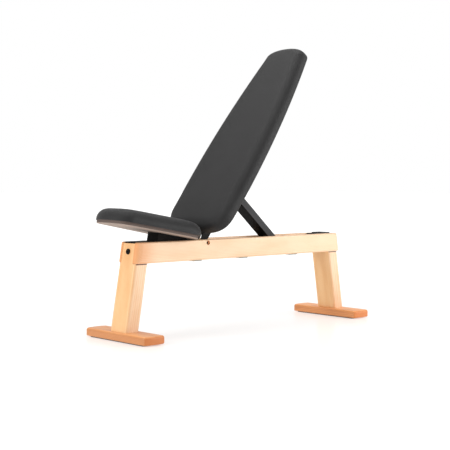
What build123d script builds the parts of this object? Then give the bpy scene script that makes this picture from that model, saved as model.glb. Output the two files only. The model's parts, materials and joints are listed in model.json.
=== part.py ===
from build123d import *
import os
from math import cos, radians, sin, tan

# Adjustable weight bench: two wooden rails on two splayed posts with wide feet, an upholstered
# backrest held up by a steel strut, and an upholstered seat held up by a short steel prop.
# Millimetres. +Z is up, +X runs to the backrest end, the bench is symmetric about the plane Y = 0,
# and the origin lies on the floor in the middle of the whole bench.

os.makedirs("parts", exist_ok=True)

# ---- feet -------------------------------------------------------------------------------------
foot_length = 380.0          # across the bench (Y)
foot_width = 100.0           # along the bench (X)
foot_height = 31.3
foot_spread = 1184.0         # from the middle of one foot to the middle of the other
foot_corner = 12.0           # upright corners
foot_end_bow = 8.0           # how far each end is domed
foot_edge = 10.0             # round-over along the top
foot_low_edge = 3.5          # easing along the bottom
grip_thickness = 4.0         # non-slip strip under each foot
grip_inset = 8.0             # from the foot's sides
grip_end_inset = 24.0        # from the foot's ends
grip_corner = 8.0
foot_screw_spacing = 56.0
foot_screw_dia = 8.0
foot_screw_length = 70.0
foot_screw_head = 15.0
foot_screw_head_height = 5.0
foot_screw_recess = 12.0     # how deep the head sits in the foot

# ---- posts ------------------------------------------------------------------------------------
post_depth = 65.5            # along the bench
post_width = 103.6           # across the bench
post_corner = 14.0
post_splay = 9.65            # degrees from upright, the foot ends lean away from each other

# ---- rails ------------------------------------------------------------------------------------
rail_underside = 294.0       # above the floor
rail_height = 80.7
rail_thickness = 26.1
rail_gap = 72.8              # clear width between the rails
rail_edge = 6.0              # rounding along the rail's long edges
rail_end_edge = 24.0         # rounding of the upright outer edges at the rail's ends
rail_over_front = 2.0        # how far the rails stand past the front post's face
rail_over_rear = 7.0

# ---- bolts, screws and fits -------------------------------------------------------------------
running_clearance = 0.05     # radial, pins in bushes and bores
soft_clearance = 0.3         # between pieces of different bodies that lie close
post_bolt_dia = 8.0
post_bolt_head = 22.0
post_bolt_head_height = 5.0
post_bolt_drop = 35.7        # below the rails' top
post_nut_size = 13.0         # across the flats
post_nut_height = 6.5
post_bolt_end = 4.0          # how far the bolt stands out of its nut
wood_screw_dia = 4.5
wood_screw_head = 9.0
wood_screw_length = 20.0
wood_screw_lift = 2.0        # how far a screw's point stays below the far face of a board
hex_socket = 5.0             # across the flats
hex_socket_depth = 6.0
bore_play = 0.5              # a bolt's bore is this much wider than the bolt
screw_play = 1.0             # the same for the foot screws
head_round = 0.45            # a pan head's edge rounding as a part of its height
socket_part = 0.6            # depth of a head's socket as a part of its height
through = 200.0              # longer than any piece that is cut right across
cut = 1.0                    # how far a cut starts outside the face it opens

# ---- steel on the frame -----------------------------------------------------------------------
plate = 4.0                  # thickness of the flat steel
end_bracket_length = 34.0    # along the bench, behind the post's tongue
end_bracket_rise = 6.0       # from the rails' underside to the bracket's lower edge
end_bracket_cut = (14.0, 20.0)    # slanted lower corner, along and up
end_bracket_screw_edge = 12.0
end_bracket_screw_drops = (22.0, 54.0)    # below the rails' top
cap_rise = 1.6               # how far the front cap plate stands above the rails
cap_set_back = 6.0           # from the post's outer face
cap_corner = 3.0
buffer_rise = 4.6            # how far the rear rubber buffer stands above the rails
rear_buffer_length = 54.0
rear_buffer_set_back = 12.0  # from the end of the plate below it
rear_buffer_inset = 4.0      # from the rails' inner faces
rear_buffer_corner = 6.0
rear_buffer_edge = 2.0
tie_plate_length = 45.0      # along the bench
tie_plate_thickness = 3.0
tie_plate_inset = 1.0        # from the rails' outer faces
tie_plate_corner = 4.0
tie_plate_places = (-272.0, -17.0, 282.0)   # from the middle of the feet
hinge_bracket_rise = 1.7     # above the rails
hinge_bracket_depth = 46.0   # below the rails' top
hinge_bracket_ahead = 16.0   # from the seat's pivot to the bracket's front end
hinge_bracket_behind = 21.0  # from the backrest's axle to its rear end
hinge_bracket_cut = 8.0      # slanted upper corners
hinge_screw_edge = 10.0

# ---- backrest ---------------------------------------------------------------------------------
axle_behind_post = 316.3     # from the front post's middle, level with the rails' top
axle_drop = 12.7             # below the rails' top
axle_dia = 12.0
axle_recess = 9.0            # how deep the axle's ends sit in the rails' outer faces
axle_counterbore = 18.0
back_angle = 53.6            # degrees above level in the rest position
back_board_offset = 22.0     # from the axle to the board's underside
back_start = 20.0            # from the axle to the pad's lower end, along the board
back_length = 954.0
back_low_width = 344.0
back_high_width = 192.0
back_bulge = 34.0            # how far each side bows out
back_low_corner = 92.0
back_high_corner = 44.0
back_high_bow = 18.0         # how far the upper end is domed
back_pad = 50.0              # foam and cover
board = 12.0                 # plywood
back_board_inset = 16.0      # the cover stands this far past the board's edge
board_ease = 1.0             # chamfer along the board's lower edge
back_edge = 49.0             # rounding of the pad's front edges
bracket_base_start = back_start + back_board_inset    # along the board, from the axle
bracket_base_end = 150.0
bracket_cheek_low = 90.0     # where the cheeks' lower edge turns up to the board
bracket_screws_along = (62.0, 138.0)
bracket_screws_across = 13.0
base_corner = 5.0            # corners of the plates against the boards
cheek_inset = 4.0            # from a cheek's end to the plate's end
mount_behind = 74.0          # strut mount: plate from the pin towards the axle
mount_ahead = 20.0           # and towards the upper end
mount_eye = 13.0
mount_screw_edge = 12.0
mount_front_cheek = 16.0     # from the pin to the cheek's front edge at the plate
mount_neck = 8.0             # height above the pin where the cheek's back edge leaves the eye
stop_length = 50.0           # rubber strip that meets the rear buffer
stop_width = 60.0
stop_corner = 8.0
stop_edge = 1.2
bush_wall = 1.5
bush_flange = 1.5            # thickness of a bush's rim
bush_rim = 3.0               # how far the rim stands out round the bush
bracket_eye = 16.0           # radius of the lower bracket round the axle
back_notches = 8             # upright to low
back_notch_step = 8.2        # degrees from notch to notch
back_top_angle = 69.9        # the steepest position

# ---- strut ------------------------------------------------------------------------------------
strut_angle = 41.0           # degrees below level in the rest position
strut_foot_run = 410.0       # from the axle to the strut's foot in the rest position
strut_side_air = 1.4         # between the strut and the rack on each side
fork_air = 1.0               # between the strut's fork and the mount's cheeks
strut_depth = 30.0
strut_wall = 3.0
strut_clevis = 36.0          # length of the open fork round the backrest's mount
strut_tail = 10.0            # tube past the foot bar
strut_corner = 2.0
strut_pin_dia = 10.0
strut_pin_end = 0.5          # how far the pin stands out of the fork on each side
cap_flange = 3.0             # thickness of the end cap outside the tube, and its depth inside
cap_flange_edge = 1.5
foot_bar_dia = 12.0
foot_bar_gap = 0.6           # from each end of the bar to the rails
bar_ease = 1.0               # chamfer on the ends of the foot bars
rack_depth = 26.0
rack_tooth = 2.5             # depth of a notch
rack_air = 0.5               # between the bar and the crest of the teeth
rack_notch_play = 1.0        # a notch is this much wider than the bar
rack_upright_end = 22.0      # rack past the upright position's notch
rack_flat_end = 26.0         # and past the flat position's
rack_screw_drop = 7.0        # from the rack's lower edge
rack_screw_parts = (0.05, 0.35, 0.65, 0.95)    # of the rack's length

# ---- seat -------------------------------------------------------------------------------------
seat_pivot_ahead = 62.0      # from the backrest's axle to the seat's pivot
seat_pin_dia = 10.0
seat_angle = 10.5            # degrees above level in the rest position
seat_top_angle = 14.0
seat_notch_step = 3.5
seat_board_offset = 15.0     # from the pivot to the board's underside
seat_start = 0.0             # from the pivot to the pad's rear end
seat_length = 418.0
seat_rear_width = 292.0
seat_front_width = 202.0
seat_rear_corner = 96.0
seat_front_corner = 56.0
seat_front_bow = 24.0
seat_pad = 53.0
seat_board_inset = 5.0       # the cover stands this far past the board's edge
seat_edge = 51.0
box_start = 30.0             # steel box under the seat, from the pivot forwards
box_end = 178.0
box_depth = 45.0
box_side_air = 3.4           # between the box and the rail on each side
box_wall = 2.5
box_corner = 3.0
box_screw_edge = 20.0
box_screw_across = 18.0
box_relief = 3.0             # air round the prop's foot bar in the box's side walls
box_relief_shift = 0.8
arm_low = 4.0                # from the box's lower edge to the arm's
arm_high = 8.0               # the arm's upper edge above the pivot
seat_screw_head_height = 2.5
seat_screw_socket = 2.5
arm_side_air = 0.4           # between a seat bush's rim and the hinge bracket
seat_arm_eye = 12.0
seat_pin_play = 0.2          # between the pin's ends and the rails

# ---- seat prop --------------------------------------------------------------------------------
prop_pivot_ahead = 130.0     # from the seat's pivot
prop_pivot_below = 20.0      # below the line through the seat's pivot
prop_length = 54.0
prop_folded = 10.0           # degrees below level with the seat flat
prop_ratio = 40.0 / 14.0     # the prop's turn for one degree of the seat's
prop_width = 44.0
prop_thickness = 10.0
prop_pin_dia = 8.0
prop_bar_dia = 9.0
prop_pin_wall = 4.0          # round the pin and the bar in the prop's eyes
prop_bar_wall = 2.5
seat_rack_depth = 24.0
seat_rack_end = 16.0         # rack past the outermost places of the bar
seat_rack_screw_edge = 9.0

# ---- places worked out from the sizes above ---------------------------------------------------
foot_top = grip_thickness + foot_height
rail_top = rail_underside + rail_height
rail_inner = rail_gap / 2
rail_outer = rail_inner + rail_thickness
axle_level = rail_top - axle_drop
post_bolt_level = rail_top - post_bolt_drop
strut_width = rail_gap - 2 * (plate + strut_side_air)
bracket_half = strut_width / 2 - strut_wall - fork_air     # half the width of the backrest's brackets
seat_arm_half = rail_inner - plate - arm_side_air - bush_flange
box_width = rail_gap - 2 * box_side_air
slope = tan(radians(post_splay))


def post_middle(z):
    """Distance of a post's centre line from the middle of the bench at the height z."""
    return foot_spread / 2 - slope * (z - foot_top)


axle_x = axle_behind_post - post_middle(rail_top)


def seat_point(ahead, above, angle):
    """Side-view place (x, z) of a point on the seat at an angle, measured from the seat's pivot."""
    a = radians(angle)
    x = axle_x - seat_pivot_ahead - ahead * cos(a) + above * sin(a)
    return x, axle_level + ahead * sin(a) + above * cos(a)


def back_point(along, above, angle):
    """Side-view place (x, z) of a point on the backrest at an angle, measured from the axle."""
    a = radians(angle)
    return axle_x + along * cos(a) - above * sin(a), axle_level + along * sin(a) + above * cos(a)


seat_front_x = seat_point(seat_start + seat_length, seat_board_offset + board, seat_angle)[0]
bench_rear_x = foot_spread / 2 + foot_width / 2
to_origin = -(seat_front_x + bench_rear_x) / 2     # moves the middle of the whole bench to x = 0

# The axle, the strut's upper pin and the strut's foot are the corners of a triangle with two equal
# sides, so the strut always turns exactly twice as far as the backrest, the other way.
strut_length = strut_foot_run / 2 / cos(radians(strut_angle))
strut_lag = back_angle - strut_angle        # the pin's direction from the axle, below the backrest's
pin_along = strut_length * cos(radians(strut_lag))
pin_above = -strut_length * sin(radians(strut_lag))


def strut_foot_x(angle):
    """Place of the strut's foot when the backrest stands at an angle."""
    return axle_x + 2 * strut_length * cos(radians(angle - strut_lag))


def prop_foot(angle):
    """Side-view place (x, z) of the prop's foot when the seat stands at an angle."""
    x, z = seat_point(prop_pivot_ahead, -prop_pivot_below, angle)
    down = radians(prop_folded + prop_ratio * angle)
    return x + prop_length * cos(down), z - prop_length * sin(down)


# Frames: backrest and seat lie in their own tilted planes, X local along the board to the rear.
back_frame = Plane(origin=(axle_x, 0, axle_level),
                   x_dir=(cos(radians(back_angle)), 0, sin(radians(back_angle))),
                   z_dir=(-sin(radians(back_angle)), 0, cos(radians(back_angle))))
seat_frame = Plane(origin=(axle_x - seat_pivot_ahead, 0, axle_level),
                   x_dir=(cos(radians(seat_angle)), 0, -sin(radians(seat_angle))),
                   z_dir=(sin(radians(seat_angle)), 0, cos(radians(seat_angle))))
pin_x, pin_z = back_point(pin_along, pin_above, back_angle)
strut_frame = Plane(origin=(pin_x, 0, pin_z),
                    x_dir=(cos(radians(strut_angle)), 0, -sin(radians(strut_angle))),
                    z_dir=(sin(radians(strut_angle)), 0, cos(radians(strut_angle))))
prop_x, prop_z = seat_point(prop_pivot_ahead, -prop_pivot_below, seat_angle)
prop_down = prop_folded + prop_ratio * seat_angle
prop_frame = Plane(origin=(prop_x, 0, prop_z),
                   x_dir=(cos(radians(prop_down)), 0, -sin(radians(prop_down))),
                   z_dir=(sin(radians(prop_down)), 0, cos(radians(prop_down))))

nodes = {}


def keep(name, *solids, frame=None):
    """Store one node, moved from its own frame to the bench's frame."""
    placed = [Pos(to_origin, 0, 0) * (frame.location * s if frame else s) for s in solids]
    nodes[name] = placed[0] if len(placed) == 1 else Compound(children=placed)


def block(x0, x1, y0, y1, z0, z1):
    """Box between two corners."""
    return Pos((x0 + x1) / 2, (y0 + y1) / 2, (z0 + z1) / 2) * Box(x1 - x0, y1 - y0, z1 - z0)


def rod(dia, y0, y1, x=0.0, z=0.0):
    """Round bar along Y."""
    return Pos(x, (y0 + y1) / 2, z) * Rot(90, 0, 0) * Cylinder(dia / 2, y1 - y0)


def upright(dia, z0, z1, x=0.0, y=0.0):
    """Round bar along Z."""
    return Pos(x, y, (z0 + z1) / 2) * Cylinder(dia / 2, z1 - z0)


def sheet(points, y0, y1):
    """Flat plate parallel to the bench's middle plane, from its side-view outline (x, z)."""
    face = make_face(Polyline(*[(x, 0, z) for x, z in points], close=True))
    return Pos(0, y1, 0) * extrude(face, amount=y1 - y0, dir=(0, -1, 0))


def screw(dia, head, head_height, length, socket=hex_socket):
    """Pan-head screw along Z, head up, with a hexagon socket; the underside of the head is z = 0."""
    body = upright(dia, -length, 0) + upright(head, 0, head_height)
    rim = body.edges().filter_by(GeomType.CIRCLE).group_by(Axis.Z)[-1]
    body = fillet(rim, head_height * head_round)
    hexagon = extrude(RegularPolygon(socket / 2, 6, major_radius=False), head_height)
    return body - Pos(0, 0, head_height * (1 - socket_part)) * hexagon


def flat_screw(dia, head, length):
    """Countersunk screw along Z with its flat head's top at z = 0."""
    depth = (head - dia) / 2
    body = upright(dia, -length, 0) + Pos(0, 0, -depth / 2) * Cone(dia / 2, head / 2, depth)
    return body - extrude(RegularPolygon(dia / 4, 6, major_radius=False), -depth * socket_part)


def flat_hole(dia, head, depth):
    """Bore for a countersunk screw, its mouth at z = 0, with the fit's clearance."""
    mouth = (head - dia) / 2
    wide = 2 * running_clearance
    return upright(dia + wide, -depth, 0) + Pos(0, 0, -mouth / 2) * Cone((dia + wide) / 2,
                                                                       (head + wide) / 2, mouth)


plate_hole = Rot(180, 0, 0) * flat_hole(wood_screw_dia, wood_screw_head, plate + cut)

# ---- feet and their grip strips ---------------------------------------------------------------
foot_screw_places = (-foot_screw_spacing / 2, foot_screw_spacing / 2)


def foot(x):
    """Foot with domed ends and a rounded top, bored from below for the post's screws."""
    half, end = foot_width / 2, foot_length / 2 - foot_end_bow
    outline = Curve() + [Line((half, -end), (half, end)), Line((-half, -end), (-half, end)),
                         ThreePointArc((-half, end), (0, foot_length / 2), (half, end)),
                         ThreePointArc((-half, -end), (0, -foot_length / 2), (half, -end))]
    face = make_face(outline)
    body = extrude(Pos(x, 0, grip_thickness) * fillet(face.vertices(), foot_corner), foot_height)
    body = fillet(body.faces().sort_by(Axis.Z)[-1].edges(), foot_edge)
    body = fillet(body.faces().sort_by(Axis.Z)[0].edges(), foot_low_edge)
    for y in foot_screw_places:
        body -= upright(foot_screw_dia + screw_play, 0, foot_top + cut, x, y)
        body -= upright(foot_screw_head + screw_play, 0, grip_thickness + foot_screw_recess, x, y)
    return body


def grip(x):
    """Non-slip strip with openings under the foot's screws."""
    outline = RectangleRounded(foot_width - 2 * grip_inset, foot_length - 2 * grip_end_inset, grip_corner)
    body = extrude(Pos(x, 0, 0) * outline, grip_thickness)
    for y in foot_screw_places:
        body -= upright(foot_screw_head + screw_play, -cut, grip_thickness + cut, x, y)
    return body


def foot_screws(x):
    """The two long screws that hold one post on its foot, put in from below."""
    head_seat = grip_thickness + foot_screw_recess
    one = screw(foot_screw_dia, foot_screw_head, foot_screw_head_height, foot_screw_length)
    return [Pos(x, y, head_seat) * Rot(180, 0, 0) * one for y in foot_screw_places]


# ---- posts ------------------------------------------------------------------------------------
def bolt_place(side):
    """Where a post bolt's head sits: on the outer face, with local Z square to that face."""
    x = side * (post_middle(post_bolt_level) + post_depth / 2)
    return Pos(x, 0, post_bolt_level) * Rot(0, side * (90 - post_splay), 0)


bolt_bore = post_bolt_dia + bore_play


def post(side):
    """Splayed post: full width up to the rails, then a tongue between them. side -1 front, +1 rear."""
    low, high = foot_top, rail_top - plate
    outline = [(side * (post_middle(z) + e * post_depth / 2), z) for z, e in
               ((low, -1), (low, 1), (high, 1), (high, -1))]
    body = sheet(outline, -post_width / 2, post_width / 2)
    long_edges = [e for e in body.edges() if abs(e.length * cos(radians(post_splay)) - (high - low)) < 1]
    body = fillet(long_edges, post_corner)
    for y0, y1 in ((rail_inner, post_width), (-post_width, -rail_inner)):
        x = side * foot_spread / 2
        body -= block(x - through, x + through, y0, y1, rail_underside, rail_top)
    body -= bolt_place(side) * upright(bolt_bore, -2 * post_depth, cut)
    depth = foot_screw_length + grip_thickness + foot_screw_recess
    for y in foot_screw_places:
        body -= upright(foot_screw_dia, foot_top - cut, depth, side * foot_spread / 2, y)
    return body


def post_bolt(side):
    """Round-headed bolt through the tongue, square to the post's face, head on the outer face."""
    reach = post_depth * cos(radians(post_splay)) + plate + post_nut_height + post_bolt_end
    return bolt_place(side) * screw(post_bolt_dia, post_bolt_head, post_bolt_head_height, reach)


def post_nut(side):
    """Hexagon nut on the bolt behind the end bracket."""
    ring = extrude(RegularPolygon(post_nut_size / 2, 6, major_radius=False), -post_nut_height)
    ring -= upright(post_bolt_dia + 2 * running_clearance, -post_nut_height - cut, cut)
    reach = (post_depth + plate) * cos(radians(post_splay))
    return bolt_place(side) * Pos(0, 0, -reach) * ring


# ---- end brackets, cap plates and buffers -----------------------------------------------------
bracket_screw_levels = [rail_top - drop for drop in end_bracket_screw_drops]
bracket_bottom = rail_underside + end_bracket_rise


cap_end = post_middle(rail_top) + post_depth / 2 - cap_set_back


def tongue_back(z):
    """Distance from the middle of the bench to the tongue's inner face at the height z."""
    return post_middle(z) - post_depth / 2


def end_bracket(side):
    """Folded steel channel between the rails: a web against the tongue and a flange on each rail."""
    top = rail_top - plate
    inner_x = tongue_back(top) - end_bracket_length
    face = [(side * tongue_back(bracket_bottom), bracket_bottom), (side * tongue_back(top), top)]
    web = sheet(face + [(side * (tongue_back(top) - plate), top),
                        (side * (tongue_back(bracket_bottom) - plate), bracket_bottom)],
                -rail_inner, rail_inner)
    body = web - bolt_place(side) * upright(bolt_bore, -2 * post_depth, cut)
    outline = face + [(side * inner_x, top), (side * inner_x, bracket_bottom + end_bracket_cut[1]),
                      (side * (inner_x + end_bracket_cut[0]), bracket_bottom)]
    for y0, y1 in ((rail_inner - plate, rail_inner), (-rail_inner, plate - rail_inner)):
        body += sheet(outline, y0, y1)
    for z in bracket_screw_levels:
        for turn, y in ((-90, rail_inner - plate), (90, plate - rail_inner)):
            body -= Pos(side * (inner_x + end_bracket_screw_edge), y, z) * Rot(turn, 0, 0) * plate_hole
    return body


def cap_plate(side, rise):
    """Black plate over the tongue and the end bracket, between the rails."""
    top = rail_top - plate
    near = tongue_back(top) - end_bracket_length
    x0, x1 = sorted((side * near, side * cap_end))
    return extrude(Pos((x0 + x1) / 2, 0, top) * RectangleRounded(x1 - x0, rail_gap, cap_corner), plate + rise)


rear_buffer_x = cap_end - rear_buffer_set_back - rear_buffer_length / 2


def rear_buffer():
    """Rubber block on the rear cap plate that the lowered backrest lies on."""
    outline = RectangleRounded(rear_buffer_length, rail_gap - 2 * rear_buffer_inset, rear_buffer_corner)
    body = extrude(Pos(rear_buffer_x, 0, rail_top) * outline, buffer_rise)
    return fillet(body.faces().sort_by(Axis.Z)[-1].edges(), rear_buffer_edge)


bracket_screws_at = [(side * (tongue_back(rail_top - plate) - end_bracket_length + end_bracket_screw_edge), z)
                     for side in (-1, 1) for z in bracket_screw_levels]


# ---- hinge bracket ----------------------------------------------------------------------------
seat_pivot_x = axle_x - seat_pivot_ahead
hinge_x0 = seat_pivot_x - hinge_bracket_ahead
hinge_x1 = axle_x + hinge_bracket_behind
hinge_floor = rail_top - hinge_bracket_depth
hinge_screws_at = [(x, hinge_floor + hinge_screw_edge)
                   for x in (hinge_x0 + hinge_screw_edge, hinge_x1 - hinge_screw_edge)]


def hinge_bracket():
    """Steel channel between the rails that carries the backrest's axle and the seat's pivot pin."""
    body = block(hinge_x0, hinge_x1, -rail_inner, rail_inner, hinge_floor, hinge_floor + plate)
    top, snip = rail_top + hinge_bracket_rise, hinge_bracket_cut
    outline = [(hinge_x0, hinge_floor), (hinge_x1, hinge_floor), (hinge_x1, top - snip),
               (hinge_x1 - snip, top), (hinge_x0 + snip, top), (hinge_x0, top - snip)]
    for y0, y1 in ((rail_inner - plate, rail_inner), (-rail_inner, plate - rail_inner)):
        body += sheet(outline, y0, y1)
    body -= rod(axle_dia + 2 * running_clearance, -through, through, axle_x, axle_level)
    body -= rod(seat_pin_dia + 2 * running_clearance, -through, through, seat_pivot_x, axle_level)
    for x, z in hinge_screws_at:
        for turn, y in ((-90, rail_inner - plate), (90, plate - rail_inner)):
            body -= Pos(x, y, z) * Rot(turn, 0, 0) * plate_hole
    return body


def side_screws(places):
    """Countersunk screws through plates on the rails' inner faces, at the side-view places (x, z)."""
    found = []
    for x, z in places:
        for turn, y in ((-90, rail_inner - plate), (90, plate - rail_inner)):
            one = Rot(180, 0, 0) * flat_screw(wood_screw_dia, wood_screw_head, wood_screw_length)
            found.append(Pos(x, y, z) * Rot(turn, 0, 0) * one)
    return found


# ---- racks ------------------------------------------------------------------------------------
strut_rack_top = axle_level - foot_bar_dia / 2 - rack_air
strut_rack_x0 = strut_foot_x(back_top_angle) - rack_upright_end
strut_rack_x1 = strut_foot_x(strut_lag) + rack_flat_end
strut_rack_screws = [(strut_rack_x0 + part * (strut_rack_x1 - strut_rack_x0),
                      strut_rack_top - rack_depth + rack_screw_drop) for part in rack_screw_parts]
prop_steps = 40              # places of the prop's foot that are looked at from flat to steepest
prop_places = [prop_foot(seat_top_angle * i / prop_steps) for i in range(prop_steps + 1)]
seat_rack_top = min(z for x, z in prop_places) - prop_bar_dia / 2 - rack_air
seat_rack_x0 = min(x for x, z in prop_places) - seat_rack_end
seat_rack_x1 = max(x for x, z in prop_places) + seat_rack_end
seat_rack_screws = [(x, seat_rack_top - seat_rack_depth + rack_screw_drop)
                    for x in (seat_rack_x0 + seat_rack_screw_edge, seat_rack_x1 - seat_rack_screw_edge)]


def rack(x0, x1, top, depth, bar, places, screws, side):
    """Notched plate on a rail's inner face; each notch is a shallow round seat for the bar."""
    y0, y1 = (rail_inner - plate, rail_inner) if side > 0 else (-rail_inner, plate - rail_inner)
    body = block(x0, x1, y0, y1, top - depth, top)
    notch = bar + rack_notch_play
    for x in places:
        body -= rod(notch, y0 - cut, y1 + cut, x, top - rack_tooth + notch / 2)
    for x, z in screws:
        turn, y = (-90, rail_inner - plate) if side > 0 else (90, plate - rail_inner)
        body -= Pos(x, y, z) * Rot(turn, 0, 0) * plate_hole
    return body


strut_notches = [strut_foot_x(back_top_angle - back_notch_step * i) for i in range(back_notches)]
seat_notches = [prop_foot(seat_notch_step * i)[0] for i in range(round(seat_top_angle / seat_notch_step) + 1)]


# ---- tie plates -------------------------------------------------------------------------------
tie_screw_y = rail_inner + rail_thickness / 2


def tie_plate(x):
    """Flat steel under both rails that keeps them apart."""
    low = rail_underside - tie_plate_thickness
    outline = RectangleRounded(tie_plate_length, 2 * (rail_outer - tie_plate_inset), tie_plate_corner)
    body = extrude(Pos(x, 0, low) * outline, tie_plate_thickness)
    hole = Rot(180, 0, 0) * flat_hole(wood_screw_dia, wood_screw_head, tie_plate_thickness + cut)
    for y in (-tie_screw_y, tie_screw_y):
        body -= Pos(x, y, low) * hole
    return body


def tie_screws():
    """Countersunk screws that hold the tie plates."""
    one = Rot(180, 0, 0) * flat_screw(wood_screw_dia, wood_screw_head, wood_screw_length)
    return [Pos(x, y, rail_underside - tie_plate_thickness) * one
            for x in tie_plate_places for y in (-tie_screw_y, tie_screw_y)]


# ---- rails ------------------------------------------------------------------------------------
all_side_screws = hinge_screws_at + strut_rack_screws + seat_rack_screws + bracket_screws_at


def rail(side):
    """Long rail with slanted rounded ends, bored for the axle and for every screw. side -1 right."""
    ends = []
    for s, over in ((-1, rail_over_front), (1, rail_over_rear)):
        ends.append([s * (post_middle(z) + post_depth / 2 + over) for z in (rail_underside, rail_top)])
    outline = [(ends[0][0], rail_underside), (ends[1][0], rail_underside), (ends[1][1], rail_top),
               (ends[0][1], rail_top)]
    y0, y1 = (rail_inner, rail_outer) if side > 0 else (-rail_outer, -rail_inner)
    body = sheet(outline, y0, y1)
    outer = body.faces().sort_by(Axis.Y)[-1 if side > 0 else 0]
    body = fillet([e for e in outer.edges() if abs(e.tangent_at(0.5).X) < 0.5], rail_end_edge)
    outer = body.faces().sort_by(Axis.Y)[-1 if side > 0 else 0]
    body = fillet([e for e in outer.edges() if abs(e.tangent_at(0.5).X) > 0.5], rail_edge)
    reach = wood_screw_length - plate
    for x, z in all_side_screws:
        body -= rod(wood_screw_dia, rail_inner, rail_inner + reach, x, z) if side > 0 else rod(
            wood_screw_dia, -rail_inner - reach, -rail_inner, x, z)
    for x in tie_plate_places:
        body -= upright(wood_screw_dia, rail_underside - cut,
                        rail_underside + wood_screw_length - tie_plate_thickness, x, side * tie_screw_y)
    body -= rod(axle_dia + 2 * running_clearance, -through, through, axle_x, axle_level)
    start = rail_outer - axle_recess
    body -= rod(axle_counterbore, start, through, axle_x, axle_level) if side > 0 else rod(
        axle_counterbore, -through, -start, axle_x, axle_level)
    return body


def axle():
    """Backrest axle: a plain rod through both rails with a hexagon socket in each end."""
    end = rail_outer - axle_recess
    body = rod(axle_dia, -end, end, axle_x, axle_level)
    hexagon = extrude(RegularPolygon(hex_socket / 2, 6, major_radius=False), hex_socket_depth)
    body -= Pos(axle_x, end, axle_level) * Rot(90, 0, 0) * hexagon
    body -= Pos(axle_x, -end, axle_level) * Rot(-90, 0, 0) * hexagon
    return body


# ---- boards and pads --------------------------------------------------------------------------
def plan(start, length, low_width, high_width, bulge, low_corner, high_corner, bow, inset, sign):
    """Tapered outline with rounded corners: straight wide end at start, domed narrow end, bowed sides."""
    s, e = start + inset, start + length - inset
    w0, w1 = low_width / 2 - inset, high_width / 2 - inset
    m = (s + e) / 2
    wm = (w0 + w1) / 2 + bulge

    def p(x, y):
        return sign * x, y

    if bulge:
        sides = [ThreePointArc(p(s, w0), p(m, wm), p(e - bow, w1)),
                 ThreePointArc(p(s, -w0), p(m, -wm), p(e - bow, -w1))]
    else:
        sides = [Line(p(s, w0), p(e - bow, w1)), Line(p(s, -w0), p(e - bow, -w1))]
    tip = ThreePointArc(p(e - bow, w1), p(e, 0), p(e - bow, -w1))
    face = make_face(Curve() + [Line(p(s, -w0), p(s, w0)), tip] + sides)
    low = [v for v in face.vertices() if abs(v.X - sign * s) < 0.01]
    face = fillet(low, low_corner - inset)
    high = [v for v in face.vertices() if abs(v.X - sign * (e - bow)) < 0.01 and abs(abs(v.Y) - w1) < 0.01]
    return fillet(high, high_corner - inset)


back_shape = (back_start, back_length, back_low_width, back_high_width, back_bulge, back_low_corner,
              back_high_corner, back_high_bow)
seat_shape = (seat_start, seat_length, seat_rear_width, seat_front_width, 0.0, seat_rear_corner,
              seat_front_corner, seat_front_bow)


def cushion(face, low, thickness, edge):
    """Foam pad: the outline raised to its thickness, its front edges well rounded."""
    body = extrude(Pos(0, 0, low) * face, thickness)
    return fillet(body.faces().sort_by(Axis.Z)[-1].edges(), edge)


def panel(face, low, holes):
    """Plywood board with its lower edges eased and pilot holes for the screws."""
    body = extrude(Pos(0, 0, low) * face, board)
    body = chamfer(body.faces().sort_by(Axis.Z)[0].edges(), board_ease)
    for x, y in holes:
        body -= upright(wood_screw_dia, low - cut, low + board - wood_screw_lift / 2, x, y)
    return body


# ---- backrest brackets and screws -------------------------------------------------------------
back_low = back_board_offset            # height of the board's underside above the axle's line
mount_back, mount_front = pin_along - mount_behind, pin_along + mount_ahead
mount_screws_along = (mount_back + mount_screw_edge, mount_front - mount_screw_edge)
back_bracket_screws = [(x, s * bracket_screws_across) for x in bracket_screws_along for s in (-1, 1)]
back_mount_screws = [(x, s * bracket_screws_across) for x in mount_screws_along for s in (-1, 1)]
bush_dia = axle_dia + 2 * running_clearance + 2 * bush_wall


def eye_plate(points, radius, hole, y0, y1):
    """Side plate with a rounded eye of the given radius about its frame's origin, bored for a pin."""
    body = sheet(points, y0, y1) + rod(2 * radius, y0, y1)
    return body - rod(hole, y0 - cut, y1 + cut)


def base_plate(x0, x1, low, screws):
    """Steel plate screwed to a board's underside."""
    outline = RectangleRounded(x1 - x0, 2 * bracket_half, base_corner)
    body = extrude(Pos((x0 + x1) / 2, 0, low) * outline, plate)
    for x, y in screws:
        body -= Pos(x, y, low) * plate_hole
    return body


def backrest_bracket():
    """Hinge bracket of the backrest: a base plate and two cheeks down to the axle."""
    top, r = back_low, bracket_eye
    end = bracket_base_end - cheek_inset
    outline = [(bracket_base_start, top), (-r * sin(radians(60)), r * cos(radians(60))), (0, -r),
               (bracket_cheek_low, -r), (end, top - plate), (end, top)]
    body = base_plate(bracket_base_start, bracket_base_end, top - plate, back_bracket_screws)
    for y0, y1 in ((bracket_half - plate, bracket_half), (-bracket_half, plate - bracket_half)):
        body += eye_plate(outline, bracket_eye, bush_dia, y0, y1)
    return body - rod(bush_dia, -through, through)


def bush_pair(bore, outside, half):
    """Two flanged bushes pressed into the cheeks from outside, round a pin."""
    found = []
    for s in (-1, 1):
        inner, outer = half - plate, half
        sleeve = rod(outside, inner, outer) + rod(outside + 2 * bush_rim, outer, outer + bush_flange)
        sleeve -= rod(bore + 2 * running_clearance, inner - cut, outer + bush_flange + cut)
        found.append(sleeve if s > 0 else mirror(sleeve, Plane.XZ))
    return found


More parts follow.
